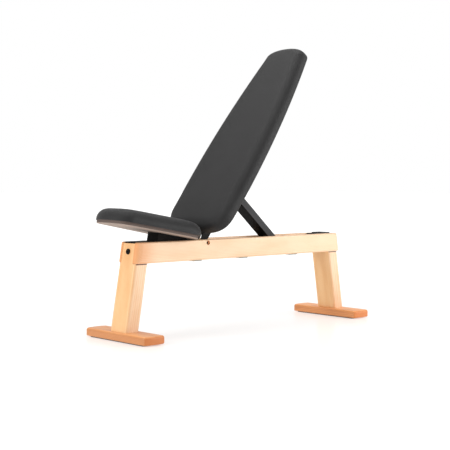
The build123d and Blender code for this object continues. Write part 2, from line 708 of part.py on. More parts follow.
def strut_mount():
    """Upper bracket on the backrest: a base plate and two deep cheeks down to the strut's pin."""
    top, drop = back_low, back_low - pin_above
    outline = [(cheek_inset - mount_behind, drop), (-mount_eye, mount_neck), (0, -mount_eye), (mount_eye, 0),
               (mount_front_cheek, drop)]
    body = base_plate(mount_back, mount_front, top - plate, back_mount_screws)
    for y0, y1 in ((bracket_half - plate, bracket_half), (-bracket_half, plate - bracket_half)):
        ear = eye_plate(outline, mount_eye, strut_pin_dia + 2 * running_clearance, y0, y1)
        body += Pos(pin_along, 0, pin_above) * ear
    return body


def board_screws(places, low):
    """Countersunk screws through a steel plate into the board above it."""
    one = Rot(180, 0, 0) * flat_screw(wood_screw_dia, wood_screw_head, plate + board - wood_screw_lift)
    return [Pos(x, y, low - plate) * one for x, y in places]


# The stop strip meets the rear buffer when the backrest lies flat.
stop_middle = rear_buffer_x - axle_x
stop_height = axle_level + back_low - (rail_top + buffer_rise) - soft_clearance


def stop_strip():
    """Rubber strip under the backrest where it lies on the rear buffer."""
    outline = RectangleRounded(stop_length, stop_width, stop_corner)
    body = extrude(Pos(stop_middle, 0, back_low - stop_height) * outline, stop_height)
    return fillet(body.faces().sort_by(Axis.Z)[0].edges(), stop_edge)


# ---- strut ------------------------------------------------------------------------------------
def strut_tube():
    """Rectangular steel tube, its upper end opened to a fork round the mount's cheeks."""
    half_w, half_d = strut_width / 2, strut_depth / 2
    end = strut_length + strut_tail
    body = block(0, end, -half_w, half_w, -half_d, half_d) + rod(strut_depth, -half_w, half_w)
    body -= block(-half_d - cut, end + cut, strut_wall - half_w, half_w - strut_wall,
                  strut_wall - half_d, half_d - strut_wall)
    body -= block(-half_d - cut, strut_clevis, strut_wall - half_w, half_w - strut_wall, -half_d - cut,
                  half_d + cut)
    long_edges = [e for e in body.edges().filter_by(Axis.X) if abs(abs(e.center().Y) - half_w) < 0.01]
    body = fillet(long_edges, strut_corner)
    body -= rod(strut_pin_dia + 2 * running_clearance, -through, through)
    return body - rod(foot_bar_dia, -through, through, strut_length, 0)


def strut_cap():
    """Plastic plug in the tube's lower end."""
    half_w, half_d = strut_width / 2, strut_depth / 2
    end = strut_length + strut_tail
    flange = block(end, end + cap_flange, -half_w, half_w, -half_d, half_d)
    flange = fillet(flange.faces().sort_by(Axis.X)[-1].edges(), cap_flange_edge)
    gap = strut_wall + running_clearance
    return flange + block(end - cap_flange, end, gap - half_w, half_w - gap, gap - half_d, half_d - gap)


def foot_bar():
    """Round bar through the strut's foot; its two ends lie over the racks."""
    reach = rail_inner - foot_bar_gap
    body = rod(foot_bar_dia, -reach, reach, strut_length, 0)
    return chamfer(body.edges().filter_by(GeomType.CIRCLE), bar_ease)


def strut_pin():
    """Pin through the mount's cheeks and the strut's fork."""
    reach = strut_width / 2 + strut_pin_end
    return rod(strut_pin_dia, -reach, reach)


# ---- seat box, arms and prop ------------------------------------------------------------------
seat_low = seat_board_offset
box_bottom = seat_low - box_depth
box_screws_along = (box_start + box_screw_edge, box_end - box_screw_edge)
seat_screw_places = [(-x, s * box_screw_across) for x in box_screws_along for s in (-1, 1)]


def seat_box():
    """Folded steel box under the seat, open below, with two arms back to the pivot pin."""
    half = box_width / 2
    body = block(-box_end, -box_start, -half, half, box_bottom, seat_low)
    body = fillet(body.edges().filter_by(Axis.Z), box_corner)
    body -= block(box_wall - box_end, -box_start - box_wall, box_wall - half, half - box_wall,
                  box_bottom - cut, seat_low - box_wall)
    # The arms run through the rear wall's corners to the pin and carry the bushes.
    back = -box_start - box_wall
    outline = [(back, arm_high), (0, arm_high), (0, -seat_arm_eye), (back, box_bottom + arm_low)]
    for y0, y1 in ((seat_arm_half - plate, seat_arm_half), (-seat_arm_half, plate - seat_arm_half)):
        body += sheet(outline, y0, y1) + rod(2 * seat_arm_eye, y0, y1)
    body -= rod(seat_bush_dia, -through, through)
    body -= rod(prop_pin_dia, -through, through, -prop_pivot_ahead, -prop_pivot_below)
    # Relief in the side walls where the prop's foot bar lies when the seat is flat.
    x = prop_length * cos(radians(prop_folded)) - prop_pivot_ahead - box_relief_shift
    body -= rod(prop_bar_dia + 2 * box_relief, -through, through, x, box_bottom)
    for x, y in seat_screw_places:
        hole = wood_screw_dia + 2 * running_clearance
        body -= upright(hole, seat_low - box_wall - cut, seat_low + cut, x, y)
    return body


seat_bush_dia = seat_pin_dia + 2 * running_clearance + 2 * bush_wall


def seat_screws():
    """Pan-head screws from inside the box into the seat's board."""
    length = box_wall + board - wood_screw_lift
    one = Rot(180, 0, 0) * screw(wood_screw_dia, wood_screw_head, seat_screw_head_height, length,
                                 seat_screw_socket)
    return [Pos(x, y, seat_low - box_wall) * one for x, y in seat_screw_places]


def seat_pin():
    """Seat pivot pin, held endways between the rails."""
    reach = rail_inner - seat_pin_play
    return rod(seat_pin_dia, -reach, reach, seat_pivot_x, axle_level)


def prop_leg():
    """Short flat leg with a rounded eye at each end."""
    half = prop_width / 2
    body = block(0, prop_length, -half, half, -prop_thickness / 2, prop_thickness / 2)
    body += rod(prop_pin_dia + 2 * prop_pin_wall, -half, half)
    body += rod(prop_bar_dia + 2 * prop_bar_wall, -half, half, prop_length, 0)
    body -= rod(prop_pin_dia + 2 * running_clearance, -through, through)
    return body - rod(prop_bar_dia, -through, through, prop_length, 0)


def prop_bar():
    """Round bar through the prop's foot; its ends lie over the seat's racks."""
    reach = rail_inner - foot_bar_gap
    body = rod(prop_bar_dia, -reach, reach, prop_length, 0)
    return chamfer(body.edges().filter_by(GeomType.CIRCLE), bar_ease)


def prop_pin():
    """Pin of the prop, riveted in the box's side walls."""
    reach = box_width / 2
    return rod(prop_pin_dia, -reach, reach, -prop_pivot_ahead, -prop_pivot_below)


# ---- every node -------------------------------------------------------------------------------
front, rear = -foot_spread / 2, foot_spread / 2
keep("front_foot", foot(front))
keep("rear_foot", foot(rear))
keep("front_foot_grip", grip(front))
keep("rear_foot_grip", grip(rear))
keep("foot_screws", *foot_screws(front), *foot_screws(rear))
keep("front_post", post(-1))
keep("rear_post", post(1))
keep("front_post_bolt", post_bolt(-1))
keep("rear_post_bolt", post_bolt(1))
keep("front_post_nut", post_nut(-1))
keep("rear_post_nut", post_nut(1))
keep("right_rail", rail(-1))
keep("left_rail", rail(1))
keep("front_end_bracket", end_bracket(-1))
keep("rear_end_bracket", end_bracket(1))
keep("end_bracket_screws", *side_screws(bracket_screws_at))
keep("front_cap_plate", cap_plate(-1, cap_rise))
keep("rear_cap_plate", cap_plate(1, 0))
keep("rear_buffer", rear_buffer())
keep("hinge_bracket", hinge_bracket())
keep("hinge_bracket_screws", *side_screws(hinge_screws_at))
for name, side in (("right", -1), ("left", 1)):
    keep(name + "_strut_rack", rack(strut_rack_x0, strut_rack_x1, strut_rack_top, rack_depth, foot_bar_dia,
                                    strut_notches, strut_rack_screws, side))
    keep(name + "_seat_rack", rack(seat_rack_x0, seat_rack_x1, seat_rack_top, seat_rack_depth, prop_bar_dia,
                                   seat_notches, seat_rack_screws, side))
keep("rack_screws", *side_screws(strut_rack_screws + seat_rack_screws))
for name, x in zip(("front", "middle", "rear"), tie_plate_places):
    keep(name + "_tie_plate", tie_plate(x))
keep("tie_plate_screws", *tie_screws())
keep("backrest_axle", axle())
keep("seat_pivot_pin", seat_pin())

keep("backrest_board", panel(plan(*back_shape, back_board_inset, 1), back_low,
                             back_bracket_screws + back_mount_screws), frame=back_frame)
keep("backrest_pad", cushion(plan(*back_shape, 0, 1), back_low + board, back_pad, back_edge),
     frame=back_frame)
keep("backrest_bracket", backrest_bracket(), frame=back_frame)
keep("backrest_bushes", *bush_pair(axle_dia, bush_dia, bracket_half), frame=back_frame)
keep("strut_mount", strut_mount(), frame=back_frame)
keep("backrest_screws", *board_screws(back_bracket_screws + back_mount_screws, back_low), frame=back_frame)
keep("backrest_stop_strip", stop_strip(), frame=back_frame)
keep("strut_pivot_pin", Pos(pin_along, 0, pin_above) * strut_pin(), frame=back_frame)

keep("strut_tube", strut_tube(), frame=strut_frame)
keep("strut_end_cap", strut_cap(), frame=strut_frame)
keep("strut_foot_bar", foot_bar(), frame=strut_frame)

keep("seat_board", panel(plan(*seat_shape, seat_board_inset, -1), seat_low, seat_screw_places), frame=seat_frame)
keep("seat_pad", cushion(plan(*seat_shape, 0, -1), seat_low + board, seat_pad, seat_edge), frame=seat_frame)
keep("seat_box", seat_box(), frame=seat_frame)
keep("seat_bushes", *bush_pair(seat_pin_dia, seat_bush_dia, seat_arm_half), frame=seat_frame)
keep("seat_screws", *seat_screws(), frame=seat_frame)
keep("prop_pin", prop_pin(), frame=seat_frame)

keep("seat_prop", prop_leg(), frame=prop_frame)
keep("seat_prop_bar", prop_bar(), frame=prop_frame)

for name, shape in nodes.items():
    export_step(shape, "parts/" + name + ".step")

print("origin shift", round(to_origin, 3))
print("axle", round(axle_x + to_origin, 3), axle_level)
print("strut pin", round(pin_x + to_origin, 3), round(pin_z, 3), "strut length", round(strut_length, 3))
print("strut foot", round(strut_foot_x(back_angle) + to_origin, 3))
print("seat pivot", round(seat_pivot_x + to_origin, 3), axle_level)
print("prop pivot", round(prop_x + to_origin, 3), round(prop_z, 3))
print("stop strip", round(stop_height, 3), "seat rack top", round(seat_rack_top, 3))
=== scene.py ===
# %% [markdown]
# # The looks of a wooden weight bench
# The bench is already built as a CAD model: every rail, bracket, screw and pad is a named node that
# stands where it belongs. This lesson dresses that model. Hard parts keep their shape and get a
# finish of wood, steel, rubber or plywood. The two pads are made anew as leather over foam, because
# foam swells and sags in a way that a CAD solid can't show.

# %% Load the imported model
import json
import math

import bmesh
import bpy
import numpy as np
from mathutils import Euler, Matrix, Vector


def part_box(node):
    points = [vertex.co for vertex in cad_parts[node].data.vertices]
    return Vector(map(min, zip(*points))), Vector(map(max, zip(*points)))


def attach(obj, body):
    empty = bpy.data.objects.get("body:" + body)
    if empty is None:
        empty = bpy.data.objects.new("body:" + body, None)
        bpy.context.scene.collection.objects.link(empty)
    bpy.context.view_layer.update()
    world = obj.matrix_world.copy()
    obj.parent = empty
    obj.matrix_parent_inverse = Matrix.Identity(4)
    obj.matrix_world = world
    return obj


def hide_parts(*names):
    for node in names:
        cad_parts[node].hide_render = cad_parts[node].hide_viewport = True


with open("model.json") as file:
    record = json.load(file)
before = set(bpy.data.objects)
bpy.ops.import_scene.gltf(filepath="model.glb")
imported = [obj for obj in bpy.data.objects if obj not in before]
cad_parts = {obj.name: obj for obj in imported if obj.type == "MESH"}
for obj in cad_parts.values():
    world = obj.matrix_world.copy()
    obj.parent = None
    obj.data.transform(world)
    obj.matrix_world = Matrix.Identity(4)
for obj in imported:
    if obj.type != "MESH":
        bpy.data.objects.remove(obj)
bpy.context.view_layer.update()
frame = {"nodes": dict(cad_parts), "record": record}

nodes = frame["nodes"]
joints = {joint["name"]: joint for joint in frame["record"]["behaviour"]["joints"]}


# %% [markdown]
# ## The camera
# A camera is a position and three directions: to its right, up, and backwards. It stands low beside
# the front end, a little above the pads' meeting point, and looks nearly level along the bench. A
# long lens keeps the two posts almost the same size, which shows a long low object calmly.

# %% Place the camera
def aim(position, heading, dip, roll, lens):
    """Camera at a position. Heading turns from +Y towards +X, dip is below level, all in degrees.

    forward = (sin h cos d, cos h cos d, -sin d); right = forward x z; up = right x forward; then
    right and up turn about forward by the roll.
    """
    h, d, r = (math.radians(a) for a in (heading, dip, roll))
    forward = Vector((math.sin(h) * math.cos(d), math.cos(h) * math.cos(d), -math.sin(d)))
    right = forward.cross(Vector((0, 0, 1))).normalized()
    up = right.cross(forward)
    right, up = right * math.cos(r) + up * math.sin(r), up * math.cos(r) - right * math.sin(r)
    camera = bpy.data.objects.new("camera", bpy.data.cameras.new("camera"))
    camera.data.lens = lens
    camera.matrix_world = Matrix((right, up, -forward)).transposed().to_4x4()
    camera.location = position
    bpy.context.scene.collection.objects.link(camera)
    return camera


camera = aim((-3.0818, -3.2475, 0.6271), heading=43.066, dip=2.5795, roll=0.228, lens=86.03)
bpy.context.scene.camera = camera
print("camera at", tuple(round(x, 3) for x in camera.location), "lens", round(camera.data.lens, 1))


# %% [markdown]
# ## Writing materials as sums
# A material is a graph of nodes, and its arithmetic is easier to read as Python. `Value` wraps one
# output socket, so that `1 - mask` or `rings ** 3 * 0.4` adds the Math nodes by itself. `Finish`
# holds one material and adds every other kind of node.

# %% A small language for shaders
class Value:
    """An output socket that takes part in arithmetic. Every operator adds one Math node."""

    def __init__(self, finish, socket):
        self.finish, self.socket = finish, socket

    def math(self, operation, *others, clamp=False):
        """Math node with this value first: operation(self, others...)."""
        return self.finish.node("Math", {"operation": operation, "use_clamp": clamp},
                                dict(enumerate((self, *others))))

    def __add__(self, other):
        return self.math("ADD", other)

    def __mul__(self, other):
        return self.math("MULTIPLY", other)

    def __sub__(self, other):
        return self.math("SUBTRACT", other)

    def __rsub__(self, other):
        return self.math("MULTIPLY", -1.0) + other

    def __pow__(self, other):
        return self.math("POWER", other)

    __radd__ = __add__
    __rmul__ = __mul__

    def between(self, low, high):
        """0 below low, 1 above high, and an S curve in between."""
        return self.finish.node("MapRange", {"interpolation_type": "SMOOTHSTEP"},
                                {"Value": self, "From Min": low, "From Max": high})


class Finish:
    """One procedural material: a Principled shader and the nodes that feed it."""

    def __init__(self, name, **constants):
        self.material = bpy.data.materials.new(name)
        self.material.use_nodes = True
        self.tree = self.material.node_tree
        self.shader = self.tree.nodes["Principled BSDF"]
        for socket, value in constants.items():
            self.feed(self.shader, socket.replace("_", " "), value)

    def feed(self, node, socket, value):
        """Link a Value to a node's input, or set the input to a number, colour or vector."""
        slot = node.inputs[socket]
        if isinstance(value, Value):
            self.tree.links.new(value.socket, slot)
        elif slot.type == "RGBA" and len(value) == 3:
            slot.default_value = (*value, 1.0)
        else:
            slot.default_value = value

    def node(self, kind, settings=None, sockets=None, out=0):
        """Add a node: its settings first, then its sockets, and give back one of its outputs."""
        made = self.tree.nodes.new("ShaderNode" + kind)
        for name, value in (settings or {}).items():
            setattr(made, name, value)
        for name, value in (sockets or {}).items():
            self.feed(made, name, value)
        return Value(self, made.outputs[out])

    def place(self):
        """A point's place on the piece, in metres."""
        return self.node("TexCoord", out="Object")

    def facing(self, direction):
        """How squarely the surface faces along a direction or against it, from 0 to 1."""
        normal = self.node("TexCoord", out="Normal")
        return self.dot(normal, direction).math("ABSOLUTE")

    def dot(self, vector, direction):
        """Length of a vector along a direction."""
        return self.node("VectorMath", {"operation": "DOT_PRODUCT"}, {0: vector, 1: direction},
                         "Value")

    def turned(self, turn, stretch=(1, 1, 1), start=(0, 0, 0)):
        """The place measured from start, turned back by turn in degrees and divided by stretch."""
        return self.node("Mapping", {"vector_type": "TEXTURE"},
                         {"Vector": self.place(), "Location": start, "Scale": stretch,
                          "Rotation": [math.radians(a) for a in turn]})

    def noise(self, place, size, detail=2.0, roughness=0.5, distortion=0.0):
        """Cloudy noise whose lumps are about size across, in metres."""
        return self.node("TexNoise", sockets={"Vector": place, "Scale": 1 / size, "Detail": detail,
                                              "Roughness": roughness, "Distortion": distortion})

    def mix(self, factor, first, second, blend="MIX"):
        """Colour first where factor is 0 and second where it is 1."""
        return self.node("Mix", {"data_type": "RGBA", "blend_type": blend},
                         {0: factor, 6: first, 7: second}, 2)

    def bump(self, height, depth, strength=1.0):
        """Relief from a height of 0 to 1 that is depth metres deep."""
        return self.node("Bump", sockets={"Height": height, "Distance": depth,
                                          "Strength": strength})

    def set(self, **inputs):
        """Feed the shader's sockets and give back the material. Underscores stand for spaces."""
        for socket, value in inputs.items():
            self.feed(self.shader, socket.replace("_", " "), value)
        return self.material


def dress(material, *names):
    """Give CAD nodes a finish."""
    for name in names:
        nodes[name].data.materials.clear()
        nodes[name].data.materials.append(material)
    print(material.name, "->", ", ".join(names))


# %% [markdown]
# ## Wood
# Wood is a solid pattern: growth rings are nested tubes round the pith. So one pattern in space
# gives straight lines on the long faces and arcs on the sawn ends, and the two always meet at the
# edge. The pith lies outside each piece, along its grain. Fine fibres are noise drawn out along the
# grain, and sawn ends drink more lacquer, which makes them darker and warmer. Stripes painted on
# each face by themselves would be simpler, but they would break at every edge.
#
# The Wave texture draws a ring every 0.314 units at scale 1, so the scale that gives rings of a
# wanted width is 0.314 divided by that width.

# %% Wood finish
wave_period = 0.314
# How far before the rails' front ends the sides begin and finish turning to the sawn ends' colour.
front_fade_depth, front_fade_end = 0.110, 0.020
# Painted shadow: colour of the dark line on the posts' sides just under the rails.
shoulder_shadow = (0.10, 0.04, 0.015)
shadow_top, shadow_blur = 0.0038, 0.0014


def wood(name, tones, turn, pith, ring, painted_light_faces, contrast=1.0, shoulder=None, front_end=None):
    """Lacquered wood. Local X is the grain after the turn, and pith is a point on the rings' axis.

    tones are the pale wood, the deep wood and the sawn ends. shade = contrast (0.34 late
    + 0.30 fibre + 0.42 cloud - 0.12), from pale at 0 to deep at 1. The tinted faces are given as
    (direction, tint, amount): painted light and shade that multiplies the faces looking along the
    direction. shoulder is the height of a joint's shoulder: a dark line just under it on the sides
    is painted shadow of the rail above. front_end is how far the front sawn end lies from the
    middle: over the last 0.11 m before it the sides turn partly towards the sawn ends' colour.
    """
    pale, deep, end_grain = tones
    made = Finish(name, Specular_IOR_Level=0.5, Coat_Roughness=0.32)
    rings = made.node("TexWave",
                      {"wave_type": "RINGS", "rings_direction": "X", "wave_profile": "SIN"},
                      {"Vector": made.turned(turn, (9, 1, 1), pith), "Scale": wave_period / ring,
                       "Distortion": 3.2, "Detail": 2.0, "Detail Scale": 0.16,
                       "Detail Roughness": 0.45}, 1)
    fibre = made.noise(made.turned(turn, (30, 1, 1), pith), size=0.0016, detail=3.0,
                       roughness=0.6)
    cloud = made.noise(made.turned(turn, (5, 1, 1), pith), size=0.045)
    pore = made.noise(made.turned(turn, (14, 1, 1), pith), size=0.0009, detail=1.0)
    pore = pore.between(0.62, 0.74)
    grain = Euler([math.radians(a) for a in turn]).to_matrix() @ Vector((1, 0, 0))
    sawn = made.facing(grain).between(0.30, 0.97)
    if front_end:
        forward = made.dot(made.place(), (-1, 0, 0))
        near_front_end = forward.between(front_end - front_fade_depth, front_end - front_fade_end) * 0.72
        sawn = sawn.math("MAXIMUM", near_front_end)
    late = rings ** 2.2
    shade = (late * 0.34 + fibre * 0.30 + cloud.between(0.35, 0.75) * 0.42 - 0.12) * contrast
    colour = made.mix(shade.math("MAXIMUM", 0.0, clamp=True), pale, deep)
    direction, tint, amount = painted_light_faces
    # Painted light and shade: faces looking along the direction are multiplied by a tint.
    faces = made.facing(direction).between(0.45, 0.95) * amount
    colour = made.mix(faces, colour, tint, "MULTIPLY")
    colour = made.mix(sawn * (0.62 + late * 0.25), colour, end_grain)
    colour = made.mix(pore * 0.22, colour, [c * 0.55 for c in deep])
    # Painted shadow: a dark line on the sides just under the shoulder, where the rail above
    # overhangs.
    if shoulder:
        height = made.dot(made.place(), (0, 0, 1))
        line = height.between(shoulder - shadow_top - shadow_blur, shoulder - shadow_top)
        sides = made.facing((0, 1, 0)).between(0.7, 0.95)
        colour = made.mix(line * sides, colour, shoulder_shadow)
    relief = fibre * 0.5 + late * 0.35 - pore * 0.5
    return made.set(Base_Color=colour, Roughness=0.40 + fibre * 0.10 + sawn * 0.15,
                    Coat_Weight=0.45 - sawn * 0.3, Normal=made.bump(relief, depth=0.00022))


# %% [markdown]
# The frame is a pale softwood. Where it faces along the bench its colour is tinted darker and
# warmer, which is painted shade. The feet are a redder wood; their tops are tinted paler, which is
# painted light, and the rear foot is painted lighter all over. No two pieces come from the same
# place in a tree, so each has its own pith.

# %% Dress the wooden pieces
frame_tones = (0.90, 0.64, 0.42), (0.78, 0.45, 0.22), (0.74, 0.27, 0.08)
foot_tones = (0.66, 0.262, 0.078), (0.42, 0.135, 0.034), (0.60, 0.175, 0.040)
# Painted shade: faces that look along the bench are multiplied by a darker, warmer tint.
painted_lengthwise_shade = ((1, 0, 0), (1.0, 0.86, 0.60), 0.9)
# Painted light: the tops of the feet are multiplied by a pale tint.
painted_top_light = ((0, 0, 1), (1.4, 1.6, 1.9), 1.0)
post_lean = 9.65

for side, y in (("right", -0.11), ("left", 0.13)):
    rail = side + "_rail"
    dress(wood(rail + "_wood", frame_tones, turn=(0, 0, 0), pith=(0, y, 0.27), ring=0.0042,
               painted_light_faces=painted_lengthwise_shade, front_end=-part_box(side + "_rail")[0][0]), rail)
rail_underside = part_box("right_rail")[0][2]
for end, sign, x in (("front", -1, -0.50), ("rear", 1, 0.68)):
    dress(wood(end + "_post_wood", frame_tones, turn=(0, -90 - sign * post_lean, 0),
               pith=(x, 0.09, 0.0), ring=0.0046, painted_light_faces=painted_lengthwise_shade, contrast=1.4,
               shoulder=rail_underside), end + "_post")
# Painted light: the rear foot's colours are 1.15 times those of the front foot.
for end, x, painted_light_gain in (("front", -0.70, 1.0), ("rear", 0.76, 1.15)):
    tones = [[c * painted_light_gain for c in tone] for tone in foot_tones]
    dress(wood(end + "_foot_wood", tones, turn=(0, 0, 90), pith=(x, 0, 0.12), ring=0.0038,
               painted_light_faces=painted_top_light, contrast=1.25), end + "_foot")


# %% [markdown]
# ## Plywood
# Plywood is thin layers glued with their grain crosswise. Its face shows one quiet veneer, and its
# edge shows the layers as stripes. Each layer could be a sheet of its own, but a pattern does the
# same with one material. The stripes need one number: how deep a point lies in the board, which is
# its distance along the board's own upright direction, so they stay straight on a tilted board.

# %% Plywood finish
def tilted(joint, sign):
    """Frame of a pad: the hinge's place, the direction along the board and the one square to it.

    The pad lies flat at the joint's lower limit, so its angle at rest is that limit turned round.
    """
    a = math.radians(-joints[joint]["range_deg"][0])
    along = Vector((sign * math.cos(a), 0, math.sin(a)))
    above = Vector((-sign * math.sin(a), 0, math.cos(a)))
    return Vector(joints[joint]["pos_m"]), along, above


pad_frames = {"backrest": tilted("backrest_hinge", 1), "seat": tilted("seat_hinge", -1)}


def plywood(name, above, layer):
    """Raw plywood. stripe = 1 in every second layer of the edge; the faces show one veneer."""
    made = Finish(name, Specular_IOR_Level=0.3)
    depth = made.dot(made.place(), above)
    stripe = (depth * (math.pi / layer)).math("SINE").between(-0.25, 0.25)
    fibre = made.noise(made.turned((0, 0, 0), (12, 1, 12)), size=0.0022, detail=3.0,
                       roughness=0.6)
    cloud = made.noise(made.place(), size=0.06)
    edge = 1 - made.facing(above).between(0.4, 0.7)
    face = made.mix(fibre * 0.5 + cloud * 0.4, (0.44, 0.36, 0.31), (0.31, 0.245, 0.205))
    # The edge's stripes are the plies; their dark colours are partly the plies' own and partly
    # painted shade under the pad's overhang.
    layers = made.mix(stripe, (0.17, 0.125, 0.105), (0.07, 0.048, 0.040))
    colour = made.mix(edge, face, layers)
    return made.set(Base_Color=colour, Roughness=0.62 + fibre * 0.15,
                    Normal=made.bump(fibre * 0.6 + stripe * edge * 0.4, depth=0.0002))


ply_thickness = 0.0015
for body, (_, _, above) in pad_frames.items():
    dress(plywood(body + "_plywood", above, ply_thickness), body + "_board")


# %% [markdown]
# ## Steel, rubber and plastic
# Powder coat is a thick skin of melted grains: nearly black, dull, with a faint orange-peel relief
# and paler on its upright sides, which is painted light from the side lamp. Zinc is bare metal with
# brushed lines. Rubber and plastic are matt blacks that differ in how their surface breaks the
# light.
# These pieces keep their CAD shape, and fine relief comes from a Bump node, because lumps this
# small would need millions of faces.

# %% Metal and rubber finishes
def powder_coat(name, colour, lit_side_colour, roughness, shine=0.05):
    """Black coat on steel. The relief is fine noise, 1.1 mm lumps; dust makes the roughness drift.

    The side colour is the coat on the upright sides: paler, painted light from the side lamp.
    """
    made = Finish(name, Specular_IOR_Level=shine)
    peel = made.noise(made.place(), size=0.0011)
    dust = made.noise(made.place(), size=0.05, detail=3.0, roughness=0.6)
    # Painted light: the upright sides get the paler side colour.
    lit_sides = made.facing((0, 1, 0)).between(0.6, 0.95)
    tint = made.mix(lit_sides, colour, lit_side_colour)
    tint = made.mix(dust * 0.5 + peel * 0.2, tint, made.mix(0.03, tint, (0.10, 0.10, 0.10)))
    return made.set(Base_Color=tint, Roughness=roughness + dust * 0.12,
                    Normal=made.bump(peel, depth=0.00006))


def bare_metal(name, colour, roughness, brushed):
    """Metal with lines: noise drawn out along one axis gives brushing, and clouds give stains."""
    made = Finish(name, Metallic=1.0)
    line = made.noise(made.turned((0, 0, 0), brushed), size=0.0007, roughness=0.6)
    stain = made.noise(made.place(), size=0.012, detail=3.0, roughness=0.6)
    tint = made.mix(line * 0.4 + stain * 0.5, colour, [c * 0.66 for c in colour])
    return made.set(Base_Color=tint, Roughness=roughness + line * 0.16 + stain * 0.1,
                    Normal=made.bump(line, depth=0.00004))


def moulded(name, colour, roughness, lump, depth):
    """Rubber or plastic: a matt skin with lumps of one size."""
    made = Finish(name, Specular_IOR_Level=0.4)
    lumps = made.noise(made.place(), size=lump, detail=3.0, roughness=0.6)
    worn = made.noise(made.place(), size=0.03, detail=3.0, roughness=0.6)
    tint = made.mix(worn * 0.7 + lumps * 0.3, colour, [c * 1.7 + 0.006 for c in colour])
    return made.set(Base_Color=tint, Roughness=roughness + worn * 0.12,
                    Normal=made.bump(lumps, depth))


# %% [markdown]
# The imported record says which finish slot each node has, so one row per slot dresses all its
# nodes. The strut comes last and gets a coat of its own, whose sides are much paler: painted light
# from the side lamp.

# %% Dress the steel, rubber and plastic pieces
# The paler side colours of these coats are painted light.
slot_finishes = {
    "black_steel": powder_coat("black_powder_coat", (0.0035, 0.0030, 0.0028),
                               lit_side_colour=(0.011, 0.010, 0.0095), roughness=0.32),
    "black_screws": powder_coat("blackened_steel", (0.006, 0.006, 0.0065),
                                lit_side_colour=(0.012, 0.012, 0.012), roughness=0.28),
    "grey_steel": bare_metal("dull_zinc", (0.42, 0.42, 0.39), roughness=0.50,
                             brushed=(1, 22, 1)),
    "zinc_steel": bare_metal("bright_zinc", (0.62, 0.62, 0.60), roughness=0.26,
                             brushed=(1, 8, 1)),
    "black_rubber": moulded("matt_rubber", (0.030, 0.030, 0.031), roughness=0.74,
                            lump=0.0009, depth=0.00012),
    "black_plastic": moulded("moulded_plastic", (0.024, 0.024, 0.025), roughness=0.46,
                             lump=0.0006, depth=0.00005),
}
slot_of = {part["node"]: part["material_slot"] for part in frame["record"]["subparts"]}
for slot, material in slot_finishes.items():
    dress(material, *sorted(name for name, its_slot in slot_of.items() if its_slot == slot))
# The strut's sides get a much paler coat: painted light from the side lamp.
dress(powder_coat("painted_sidelight_coat", (0.0020, 0.0018, 0.0017),
                  lit_side_colour=(0.062, 0.062, 0.064), roughness=0.34, shine=0.02), "strut_tube")


# %% [markdown]
# ## Leather
# Smooth upholstery leather is embossed with a pebble grain: small cells with soft creases between
# them. Voronoi cells give the pebbles, and their borders the creases. A finer noise breaks them up,
# and slow clouds make the black a little uneven, as any dyed hide is. Plain noise would be simpler,
# but it has no creases and looks like plaster.

# %% Leather finish
def leather(name, colour):
    """Dyed leather. relief = 0.15 fine - crease: fine is noise of 0.4 mm, and crease is 1 on the
    borders of pebbles 1.3 mm across.
    """
    made = Finish(name, Specular_IOR_Level=0.22, Sheen_Weight=0.10, Sheen_Roughness=0.3)
    place = made.place()
    drift = made.node("TexNoise", sockets={"Vector": place, "Scale": 260.0}, out="Color")
    bent = made.node("VectorMath", {"operation": "MULTIPLY_ADD"},
                     {0: drift, 1: (0.0012, 0.0012, 0.0012), 2: place})
    cells = made.node("TexVoronoi", {"feature": "DISTANCE_TO_EDGE"},
                      {"Vector": bent, "Scale": 780.0})
    crease = 1 - cells.between(0.0, 0.16)
    fine = made.noise(place, size=0.0004)
    cloud = made.noise(place, size=0.09, detail=3.0, roughness=0.55)
    tint = made.mix(cloud.between(0.3, 0.75), colour, [c * 1.22 for c in colour])
    # Painted shade: the creases between pebbles are also darkened in the colour.
    tint = made.mix(crease * 0.35, tint, [c * 0.45 for c in colour])
    return made.set(Base_Color=tint, Roughness=0.41 + cloud * 0.08 + crease * 0.12,
                    Normal=made.bump(fine * 0.15 - crease, depth=0.00016, strength=0.7))


hide = leather("charcoal_leather", (0.0190, 0.0186, 0.0189))


# %% [markdown]
# ## The pads
# A pad is foam glued to a board, with leather pulled over it and tucked in at the board's edge. Its
# outline is a taper with two rounded ends. Its section is a tuck, a short side, a large round edge
# and a low crown. A block with a Bevel modifier could give the round edge, but not a tuck or an
# edge that grows wider towards one end. So both are formulas on whole arrays: the outline gives one
# closed loop, and the section tells each ring how far to come in from it and how high to lie.

# %% Outline and section of a pad
def outline(length, low_half, high_half, bow, low_end, high_end, count):
    """Closed loop (x, y), count points evenly spaced, that starts in the middle of the low end.

    half width(x) = (taper + 4 bow s (1 - s)) f(x / low) f((length - x) / high), s = x / length,
    with f(q) = (1 - (1 - q)^p)^(1/p) for q < 1, else 1. Each end is (depth, p).
    """
    dense = 4001
    x = length * (1 - np.cos(np.linspace(0, np.pi, dense))) / 2
    s = x / length
    half = low_half + (high_half - low_half) * s + 4 * bow * s * (1 - s)
    for depth, p, reach in ((*low_end, x), (*high_end, length - x)):
        q = np.clip(reach / depth, 0, 1)
        half = half * (1 - (1 - q) ** p) ** (1 / p)
    run = np.concatenate([[0], np.cumsum(np.hypot(np.diff(x), np.diff(half)))])
    even = np.linspace(0, run[-1], count // 2 + 1)
    side = np.stack([np.interp(even, run, x), np.interp(even, run, half)], 1)
    back = side[-2:0:-1] * (1, -1)
    return np.concatenate([side, back])


